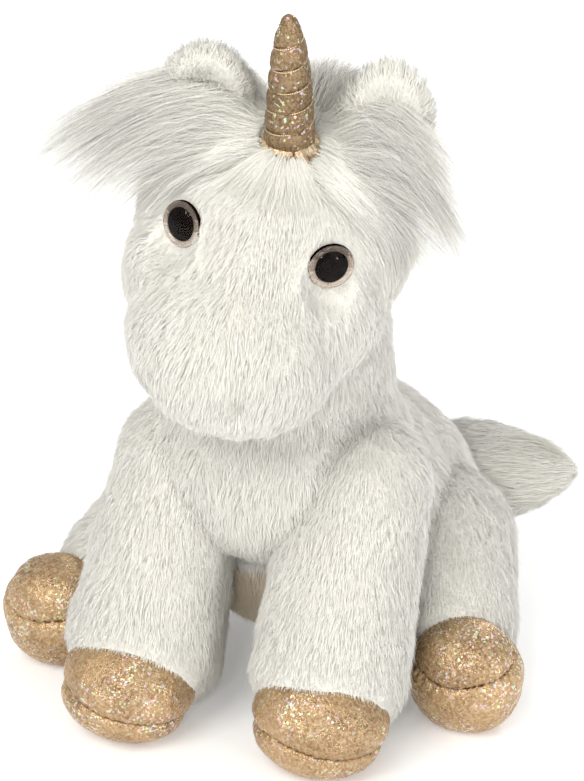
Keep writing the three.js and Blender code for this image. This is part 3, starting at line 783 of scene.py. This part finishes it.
def make_head():
    mesh = form("head_cover", SKULL, HEAD, 1.6, 16)
    woolly(mesh, 0.6 * MM, 0.04, 41)
    cleft(mesh)
    for space in EYES.values():
        socket(mesh, space)
    cover = new_object("head_cover", mesh, [GROUND])
    finish_cover(cover, "head", ["head_side_left", "head_side_right", "head_gusset"])
    horn = place([HORN_AT], HEAD)[0]
    pivot = place([(3, -8, 184)], TOY)[0]

    def grows(p, n):
        clear = np.linalg.norm(p - horn, axis=1) > UNDER_HORN
        clear &= np.linalg.norm(p - pivot, axis=1) > IN_NECK
        for at in EYE_AT.values():
            clear &= np.linalg.norm(p - at, axis=1) > (EYE_R + 0.2) * MM
        return clear

    def near_eye(p):
        far = np.min([np.linalg.norm(p - at, axis=1) for at in EYE_AT.values()], 0)
        return 0.45 + 0.55 * np.clip((far / MM - 10) / 10, 0, 1)

    back = np.linalg.inv(np.array(HEAD))
    for part, sign in SIDES:
        half = lambda p, n, sign=sign: grows(p, n) & ((p @ back[0, :3] + back[0, 3]) * sign >= 0)
        furry = pile(f"head_pile_{part}", mesh, face_comb, 50 + sign, keep=half, trim=near_eye)
        finish_pile(furry, "head")


def make_leg(name, leg, seed):
    lumps = tapered(leg["hip"], leg["ankle"], leg["top"], leg["end"])
    mesh = form(name + "_cover", lumps, TOY, 2.2, 8)
    set_points(mesh, settle(points_of(mesh), 3.0 * MM, 3 * MM))
    woolly(mesh, 0.7 * MM, 0.03, seed)
    cover = new_object(name + "_sleeve", mesh, [GROUND])
    finish_cover(cover, name, [name + "_cover"])
    hoof_at, hoof_r = np.array(leg["hoof"]), np.array(leg["size"])
    clear = outside([(at, tuple(x - 14 for x in r)) for at, r in TORSO])

    def from_hoof(p):
        return np.linalg.norm(((p - np.array(SHIFT)) / MM - hoof_at) / hoof_r, axis=1)

    keep = lambda p, n: clear(p) & (from_hoof(p) > 1.03) & ((p[:, 2] > 4 * MM) | (n[:, 2] > -0.7))
    shorter = lambda p: 0.4 + 0.6 * np.clip((from_hoof(p) - 1.03) / 0.3, 0, 1)
    way = unit(place([leg["ankle"]], TOY) - place([leg["hip"]], TOY))[0]
    flow = lambda p, n: way + np.array([0, 0, -0.5])
    furry = pile(name + "_pile", mesh, flow, seed + 3, keep=keep, trim=shorter)
    finish_pile(furry, name)


# ---- hooves ----
SEAM_DEPTH, SEAM_WIDTH, SWELL, FOLD, SLACK, PUCKERS = 1.25, 1.7, 0.9, 0.34, 0.55, 31


def make_hoof(name, leg, seed):
    """Upper and sole of a stuffed foil hoof, pulled in and puckered along the seam between them."""
    bm = bmesh.new()
    bmesh.ops.create_icosphere(bm, subdivisions=6, radius=1)
    whole = bpy.data.meshes.new("hoof")
    bm.to_mesh(whole)
    p = points_of(whole)
    p = np.sign(p) * np.abs(p) ** 0.94
    p = unit(p) * np.linalg.norm(p, axis=1)[:, None] ** 0.8
    p = p * np.array(leg["size"])
    up, tilt, roll = leg["seam"]
    tilt, roll = math.radians(tilt), math.radians(roll)
    normal = unit(np.array([math.tan(roll), -math.tan(tilt), 1.0]))
    off = p @ normal - up * normal[2]
    off += 0.8 * np.sin(np.arctan2(p[:, 1], p[:, 0]) * 3 + seed)
    round_way = np.arctan2(p[:, 1] + 6, p[:, 0])
    pucker = np.sin(round_way * PUCKERS + 2.5 * np.sin(round_way * 7 + seed))
    groove = SEAM_DEPTH * np.exp(-((off / SEAM_WIDTH) ** 2))
    swell = SWELL * np.exp(-(((np.abs(off) - 7) / 5) ** 2))
    fold = FOLD * pucker * np.exp(-np.abs(off) / 4.5)
    slack = SLACK * wobble(p * MM, 0.016, seed)[:, 0] + 0.25 * wobble(p * MM, 0.006, seed + 1)[:, 0]
    out = unit(p / np.array(leg["size"]) ** 2)
    p = p + out * (swell - groove + fold + slack)[:, None]
    p = place(p + np.array(leg["hoof"]), TOY)
    p = settle(p, 0.2 * MM, 1.6 * MM)
    for part, sign in (("upper", 1), ("sole", -1)):
        piece = whole.copy()
        set_points(piece, p)
        cut = bmesh.new()
        cut.from_mesh(piece)
        side = off * sign
        gone = [v for v in cut.verts if side[v.index] < -0.15]
        bmesh.ops.delete(cut, geom=gone, context="VERTS")
        edge = [e for e in cut.edges if e.is_boundary]
        rim = bmesh.ops.extrude_edge_only(cut, edges=edge)
        middle = Vector(place([leg["hoof"]], TOY)[0])
        for v in rim["geom"]:
            if isinstance(v, bmesh.types.BMVert):
                v.co = v.co.lerp(middle, 0.10)
        bmesh.ops.holes_fill(cut, edges=[e for e in cut.edges if e.is_boundary], sides=0)
        bmesh.ops.recalc_face_normals(cut, faces=cut.faces)
        cut.to_mesh(piece)
        cut.free()
        rounded(piece)
        made = new_object(f"{name}_{part}_panel", piece, [GOLD])
        finish_cover(made, name, [f"{name}_hoof_{part}"])
    bm.free()


# ---- horn ----
HORN = HEAD @ Matrix.Translation(HORN_AT) @ (HORN_TIP - HORN_AT).to_track_quat("Z", "Y").to_matrix().to_4x4()
HORN_LONG = (HORN_TIP - HORN_AT).length
HORN_R, CREASE_DEPTH, TURNS = 9.7, 1.5, 6.2
HORN_SUNK = 0.12  # of its length, inside the head
COLLAR_HOLE, COLLAR_R, COLLAR_HALF, FRAYS = 8.6, 12.0, 0.35, 260


def horn_phase(t, angle):
    """Where a point of the horn is between two creases: 0 in a crease, a full turn in the next."""
    return TURNS * t * 2 * math.pi - angle + 0.35 * np.sin(2 * angle + 9 * t)


def horn_radius(t, angle):
    cone = HORN_R * (1 - 0.36 * t - 0.47 * t**5.5)
    fade = np.minimum(1, t * 9) * np.minimum(1, (1 - t) * 6)
    bulge = np.abs(np.sin(horn_phase(t, angle) / 2)) ** 0.4 - 0.85
    return cone + fade * CREASE_DEPTH * (1 - 0.35 * t) * bulge


def make_horn():
    rows, sides = 260, 72
    t = np.linspace(-HORN_SUNK, 1, rows)[:, None]
    angle = around(sides)[None]
    cap = np.sqrt(np.clip(1 - ((t - 0.955) / 0.045).clip(0, 1) ** 2, 0, 1))
    r = horn_radius(np.clip(t, 0, 1), angle) * cap
    crease = np.exp(-((((TURNS * t - angle / 2 / math.pi) % 1 - 0.5) / 0.42) ** 8))
    ruck = 0.16 * np.sin(angle * 23 + 40 * t + 2 * np.sin(9 * angle)) * crease
    sway = 0.9 * np.sin(t * 3.4)
    x = (r + ruck * cap) * np.cos(angle) + sway * 0.5
    y = (r + ruck * cap) * np.sin(angle) + 0 * t
    z = t * HORN_LONG + 0 * angle
    points = np.stack([x, y, z], 2).reshape(-1, 3)
    points = np.vstack([points, [0, 0, -HORN_SUNK * HORN_LONG]])
    faces = wall(rows, sides) + [(rows * sides, (i + 1) % sides, i) for i in range(sides)]
    mesh = mesh_of("horn", place(points, HORN), np.array(faces))
    cover = new_object("horn_foil", mesh, [HORN_GOLD, CREASE_SHADE_FOIL])
    # Faces in a crease take the darker foil: painted shade.
    groove = np.abs(np.sin(horn_phase(t, angle) / 2)) < 0.08
    inside = np.concatenate([np.repeat(groove[:-1], 2), np.full(sides, False)])
    mesh.polygons.foreach_set("material_index", inside.astype(np.int32))
    finish_cover(cover, "horn", ["horn_cover"])

    s = np.linspace(0.03, 0.93, 420)
    turn_at = TURNS * s * 2 * math.pi
    rr = horn_radius(s, turn_at + 0.3) + 0.1
    line = np.stack([rr * np.cos(turn_at) + 0.45 * np.sin(s * 3.4), rr * np.sin(turn_at), s * HORN_LONG], 1)
    thread = new_object("horn_cord", tube("cord", place(line, HORN), 0.26 * MM), [CORD])
    finish_pile([thread], "horn")
    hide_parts("horn_thread")


def tube(name, line, radius, sides=8):
    way = unit(np.gradient(line, axis=0))
    up = np.array([0.13, 0.21, 0.97])
    u = unit(np.cross(way, up))
    v = np.cross(way, u)
    fat = np.full(len(line), radius)
    fat[[0, -1]] *= 0.3
    points = (line[:, None] + circles(u, v, sides) * fat[:, None, None]).reshape(-1, 3)
    points = np.vstack([points, line[0], line[-1]])
    return mesh_of(name, points, np.array(shell(len(line), sides)))


def make_collar():
    """Raw edge of the horn's fabric, lying frayed on the fur round its foot."""
    rng = np.random.default_rng(77)
    sides, rows = 150, 7
    angle = around(sides)
    edge = COLLAR_R + 1.0 * np.sin(angle * 5 + 1) + 0.9 * np.sin(angle * 11 + 2)
    edge += rng.uniform(-0.7, 1.1, sides)
    rings = []
    for half, outwards in ((COLLAR_HALF, np.linspace(0, 1, rows)), (-COLLAR_HALF, np.linspace(1, 0, rows))):
        for s in outwards:
            r = COLLAR_HOLE + (edge - COLLAR_HOLE) * s
            z = 1.6 - 4.2 * s**1.6 + 0.5 * np.sin(angle * 7 + 3 * s) * s + half
            rings.append(np.stack([r * np.cos(angle), r * np.sin(angle), z], 1))
    faces = np.array(wall(2 * rows, sides, closed=True))[:, ::-1]
    mesh = mesh_of("collar", place(np.vstack(rings), HORN), faces)
    collar = new_object("horn_frayed_edge", mesh, [PALE_GOLD])
    finish_pile([collar], "head")
    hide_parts("horn_collar")
    n = FRAYS
    way = rng.uniform(0, 2 * math.pi, n)
    r0, long = rng.uniform(9.5, 12.5, n), rng.uniform(1.2, 3.6, n)
    lift = rng.uniform(-0.6, 0.9, n)
    base = np.stack([r0 * np.cos(way), r0 * np.sin(way), 0.4 - (r0 - COLLAR_HOLE) * 0.75], 1)
    tips = base + np.stack([long * np.cos(way + lift / 2), long * np.sin(way + lift / 2), lift - 0.6], 1)
    paths = place(np.stack([base, base * 0.4 + tips * 0.6, tips], 1).reshape(-1, 3), HORN).reshape(n, 3, 3)
    radii = rng.uniform(0.18, 0.42, n)[:, None] * MM * np.array([1, 0.8, 0])
    up = np.repeat(turn([(0, 0, 1)], HORN), n, 0)
    frayed = fibres("horn_fray", paths, radii, np.zeros(n, int), [PALE_GOLD], up)
    finish_pile([frayed], "head")


# ---- ears ----
EARS = {"left": ((35, -2, 42), (4, -9)), "right": ((-37, -2, 40), (30, 8))}


def make_ear(side, seed):
    at, (lean, out) = EARS[side]
    turned = Matrix.Rotation(math.radians(out), 4, "Y") @ Matrix.Rotation(math.radians(lean), 4, "X")
    space = HEAD @ Matrix.Translation(at) @ turned
    lumps = [((0, 0, 16), (14.5, 5.5, 20.5))] + [((x, 0, 0), (5, 5, 5)) for x in (-8, -4, 0, 4, 8)]
    mesh = form(f"ear_{side}", lumps, space, 1.3, 6)
    q = local(points_of(mesh), space)
    high = np.clip(q[:, 2] / 12, 0, 1)
    hollow = 2.4 * np.exp(-((q[:, 0] / 8.5) ** 2) - (((q[:, 2] - 17) / 12) ** 2))
    q[:, 1] += high * (hollow * (q[:, 1] < 1) - 0.011 * q[:, 0] ** 2 + 1.2)
    set_points(mesh, place(q, space))
    cover = new_object(f"ear_{side}_leaf", mesh, [EAR_GROUND])
    finish_cover(cover, f"ear_{side}", [f"ear_{side}_back", f"ear_{side}_lining"])
    face = turn([(0, -1, 0)], space)[0]
    up = turn([(0, 0, 1)], space)[0]
    foot = place([(0, 0, 4)], space)[0]
    comb = lambda p, n: 0.9 * unit(p - foot) + 0.5 * up
    behind = lambda p, n: (n @ face) < 0.35
    infront = lambda p, n: ~behind(p, n)
    shaggy = pile(f"ear_{side}_pile", mesh, comb, seed, length=9, lean=50, per_mm2=2.8, keep=behind,
                  clump=0.4, share=0.4)
    # The lining takes more of the darker pile_shade fibres: painted shade for the ear's inside.
    soft = pile(f"ear_{side}_lining_pile", mesh, comb, seed + 7, length=6, lean=58, per_mm2=2.6, keep=infront,
                tone=(0.4, 0.4, 0.2), share=0.7)
    finish_pile(shaggy, f"ear_{side}")
    finish_pile(soft, f"ear_{side}")


# ---- long fur ----
FORELOCK_RIGHT = [
    [(-4, 4, 50), (-15, -2, 60), (-33, -9, 62), (-54, -11, 52), (-78, -11, 34), (-108, -11, 3)],
    [(-7, -2, 50), (-15, -9, 58), (-33, -15, 58), (-52, -16, 47), (-74, -14, 28), (-101, -12, -6)],
    [(-10, -10, 48), (-17, -17, 54), (-31, -20, 52), (-47, -21, 41), (-64, -18, 22), (-86, -15, -11)],
    [(-11, -18, 46), (-18, -25, 47), (-29, -27, 44), (-42, -28, 34), (-55, -26, 17), (-69, -21, -11)],
    [(-9, -26, 42), (-16, -30, 43), (-26, -32, 39), (-37, -33, 30), (-46, -31, 18), (-52, -28, 4)],
]
FORELOCK_MIDDLE = [
    [(-5, -27, 49), (-10, -33, 46), (-17, -39, 39), (-23, -42, 31)],
    [(-2, -28, 49), (-4, -35, 45), (-7, -42, 38), (-9, -45, 29)],
    [(2, -28, 49), (4, -35, 45), (7, -42, 38), (9, -46, 29)],
    [(5, -27, 49), (11, -33, 46), (19, -38, 40), (26, -40, 33)],
]
FORELOCK_LEFT = [
    [(9, -26, 42), (15, -30, 43), (25, -32, 40), (37, -31, 33), (50, -26, 22), (62, -22, 2)],
    [(11, -19, 46), (18, -24, 48), (30, -26, 45), (43, -24, 37), (58, -20, 23), (72, -17, -3)],
    [(11, -10, 48), (19, -17, 54), (32, -19, 53), (47, -19, 45), (63, -17, 31), (81, -14, 5)],
    [(9, -2, 51), (19, -10, 58), (32, -14, 60), (47, -15, 52), (60, -15, 41), (77, -14, 25)],
    [(6, 6, 53), (16, -2, 61), (29, -6, 65), (43, -9, 61), (57, -11, 53), (73, -13, 41)],
]
CROWN = [
    [(-6, 14, 50), (-10, 12, 60), (-16, 10, 68)],
    [(0, 12, 51), (2, 8, 62), (3, 6, 70)],
    [(8, 10, 51), (12, 8, 62), (16, 6, 70)],
    [(14, 10, 49), (20, 10, 59), (26, 10, 66)],
]
NAPE = [
    [(-12, 14, 48), (-14, 36, 48), (-15, 56, 34), (-14, 66, 12), (-12, 66, -12)],
    [(-4, 12, 51), (-5, 38, 52), (-5, 60, 36), (-5, 70, 12), (-4, 69, -14)],
    [(4, 12, 51), (5, 38, 52), (5, 60, 36), (5, 70, 12), (4, 69, -14)],
    [(12, 14, 48), (14, 36, 48), (15, 56, 34), (14, 66, 12), (12, 66, -12)],
]
TAIL_LINE = [(12, 96, 52), (33, 102, 53), (54, 106, 55), (72, 107, 58), (88, 107, 61)]
TAIL_RADII = [(13, 13, 15), (15, 16, 20), (15, 18, 21), (13, 14, 16), (7, 7, 8)]
TAIL_TIP = [
    [(60, 106, 76), (78, 106, 78), (95, 106, 73)],
    [(64, 112, 69), (82, 111, 70), (100, 108, 68)],
    [(66, 114, 62), (84, 112, 63), (102, 108, 63)],
    [(62, 110, 52), (78, 108, 55), (94, 106, 57)],
    [(56, 105, 42), (69, 105, 43), (83, 105, 48)],
    [(62, 100, 52), (78, 102, 55), (93, 104, 58)],
    [(66, 98, 62), (84, 101, 64), (101, 104, 64)],
    [(62, 102, 74), (80, 103, 76), (97, 105, 71)],
]
HORN_CLEAR, EYE_CLEAR = 11.5, EYE_R + 2  # hair keeps this far from the axes of horn and eyes
LOFT = (1.5, 5.5)  # how high the hairs lie over the head


def on_head(paths, rng, hug):
    """Lays hairs on the head for a share hug of their length, clear of the horn and of the eyes."""
    shape = paths.shape
    q = local(paths.reshape(-1, 3), HEAD)
    t = np.tile(np.linspace(0, 1, shape[1]), shape[0])
    over = np.repeat(rng.uniform(*LOFT, shape[0]), shape[1]) * np.minimum(1, 0.1 + 4 * t)
    hug = np.repeat(hug, shape[1])
    for _ in range(2):
        near = np.full(len(q), 9.0)
        for at, r in SKULL:
            within = (q - np.array(at)) / (np.array(r) + over[:, None])
            near = np.minimum(near, np.linalg.norm(within, axis=1))
        held = np.clip(1.6 - 1.6 * t / hug, 0, 1)
        scale = np.where(near > 1, 1 + (1 / near - 1) * held, 1 / np.maximum(near, 0.3))[:, None]
        q = q * scale
    q = local(place(q, HEAD), HORN)
    across = np.hypot(q[:, 0], q[:, 1])
    push = np.where((across < HORN_CLEAR) & (q[:, 2] > -9), HORN_CLEAR / np.maximum(across, 1), 1)
    q[:, :2] *= push[:, None]
    paths = place(q, HORN).reshape(shape)
    seen = np.full(shape[0], True)
    for space in EYES.values():
        q = local(paths.reshape(-1, 3), space)
        over_eye = (np.hypot(q[:, 0], q[:, 1]) < EYE_CLEAR) & (q[:, 2] > -4) & (q[:, 2] < 40)
        seen &= ~over_eye.reshape(shape[:2]).any(1)
    return paths[seen]


def make_hair():
    def lock(name, guides, count, seed, node=None, hug=(0.35,), **more):
        each = np.interp(np.arange(len(guides)), np.linspace(0, len(guides) - 1, len(hug)), hug)
        lift = lambda paths, rng, a: on_head(paths, rng, np.interp(a, np.arange(len(guides)), each))
        pieces = hair(name, guides, count, seed, HEAD, [(0, 0, 0)], lift=lift, **more)
        finish_pile(pieces, "head")
        if node:
            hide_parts(node)

    lock("forelock_right_hair", FORELOCK_RIGHT, 8500, 101, "forelock_right", (0.35, 0.4, 0.5, 0.9, 2),
         spread=3.8, tight=0.95, groups=300, finish=(0.55, 1.0), flare=4.5)
    lock("forelock_middle_hair", FORELOCK_MIDDLE, 4500, 102, hug=(3,), spread=2.4, groups=120, steps=5,
         finish=(0.4, 1.0), tone=(0.66, 0.34, 0.0, 0.0), frost=0.02)
    lock("forelock_left_hair", FORELOCK_LEFT, 8500, 103, "forelock_left", (3, 1.6, 0.8, 0.5, 0.4),
         spread=3.8, tight=0.95, groups=300, finish=(0.5, 1.0), flare=4.5)
    lock("crown_hair", CROWN, 2400, 104, "crown_tuft", spread=5.0, groups=90, steps=5, flare=3.0)
    lock("mane_hair", NAPE, 5500, 105, "mane", (2,), spread=4.5, groups=120, start=(0, 0.75),
         finish=(0.5, 1.0), tone=(0.66, 0.28, 0.06, 0.0), frost=0.1)


def make_tail():
    lumps = list(zip(catmull(TAIL_LINE, 24), catmull(TAIL_RADII, 24)))
    mesh = form("tail_core", lumps, TOY, 2.0, 10)
    core = new_object("tail_core", mesh, [GROUND])
    finish_cover(core, "tail", ["tail_cover"])
    root = place([(-10, 88, 52)], TOY)[0]
    sweep = lambda p, n: unit(p - root) + np.array([0.6, 0, 0])
    brush = pile("tail_pile", mesh, sweep, 120, length=12, lean=79, per_mm2=2.0, thick=0.13, curl=0.16,
                 share=0.78, tone=(0.4, 0.5, 0.1))
    axis = catmull([(16, 97, 52), (48, 107, 60), (100, 107, 64)], 12)
    ends = hair("tail_hair", TAIL_TIP, 3500, 121, TOY, axis, spread=2.2, groups=140, start=(0, 0.5),
                finish=(0.7, 1.0), steps=4, wave=0.5, flare=1.4, tone=(0.5, 0.5, 0.0, 0.0), frost=0.03)
    finish_pile(brush + ends, "tail")


# ---- the pieces ----
make_torso()
make_neck()
make_head()
for number, (leg_name, leg_facts) in enumerate(LEGS.items()):
    make_leg(leg_name, leg_facts, 200 + 20 * number)
    make_hoof(leg_name, leg_facts, 300 + 20 * number)
make_horn()
make_collar()
make_ear("left", 401)
make_ear("right", 421)
make_eye("left")
make_eye("right")
make_hair()
make_tail()

INNER = {"filling": STUFFING, "bag": CALICO, "washer": WASHER}
for node_name, node in frame["nodes"].items():
    for ending, inner in INNER.items():
        if node_name.endswith(ending):
            node.data.materials.clear()
            node.data.materials.append(inner)

# ---- stage ----
floor_mesh = bpy.data.meshes.new("floor")
floor_mesh.from_pydata([(-6, -6, 0), (6, -6, 0), (6, 6, 0), (-6, 6, 0)], [], [(0, 1, 2, 3)])
floor_white = material("floor_white", (0.93, 0.93, 0.93), 0.9, Emission_Strength=0.2)
new_object("floor", floor_mesh, [floor_white])


def area_light(name, at, target, size, power, color=(1, 1, 1)):
    data = bpy.data.lights.new(name, "AREA")
    data.size, data.energy, data.color = size, power, color
    made = new_object(name, data)
    made.location = at
    made.rotation_euler = (Vector(target) - Vector(at)).to_track_quat("-Z", "Y").to_euler()


MIDDLE = (0.011, -0.013, 0.15)
area_light("key", (-0.5, -1.7, 1.95), MIDDLE, 1.5, 36, (1.0, 0.985, 0.955))
area_light("fill", (1.35, -0.75, 0.8), MIDDLE, 1.2, 2.8, (1.0, 0.99, 0.97))
area_light("back", (0.3, 1.4, 1.0), MIDDLE, 0.6, 10)
# Each of these is mirrored towards the camera by one eye's dome.
area_light("glint_near", TOY @ Vector((1087, -652, 216)), TOY @ Vector((44, -57, 218)), 0.1, 2.6)
area_light("glint_far", TOY @ Vector((226, -1165, 652)), TOY @ Vector((-10, -67, 230)), 0.1, 2.2)
world = bpy.data.worlds.new("studio")
bpy.context.scene.world = world
world.use_nodes = True
backdrop = world.node_tree.nodes["Background"].inputs
backdrop["Color"].default_value = (1.0, 1.0, 1.0, 1)
backdrop["Strength"].default_value = 0.6

AZIMUTH, ELEVATION, DISTANCE = math.radians(20), math.radians(25), 1.0
AIM = TOY @ Vector((5, 0, 130))
towards_camera = Vector((math.sin(AZIMUTH) * math.cos(ELEVATION), -math.cos(AZIMUTH) * math.cos(ELEVATION),
                         math.sin(ELEVATION)))
camera_data = bpy.data.cameras.new("camera")
camera_data.sensor_width, camera_data.lens, camera_data.shift_y = 36, 112.9, 0.0122
camera = new_object("camera", camera_data)
camera.location = AIM + towards_camera * DISTANCE
camera.rotation_euler = towards_camera.to_track_quat("Z", "Y").to_euler()
bpy.context.scene.camera = camera
bpy.context.scene.view_settings.view_transform = "Standard"
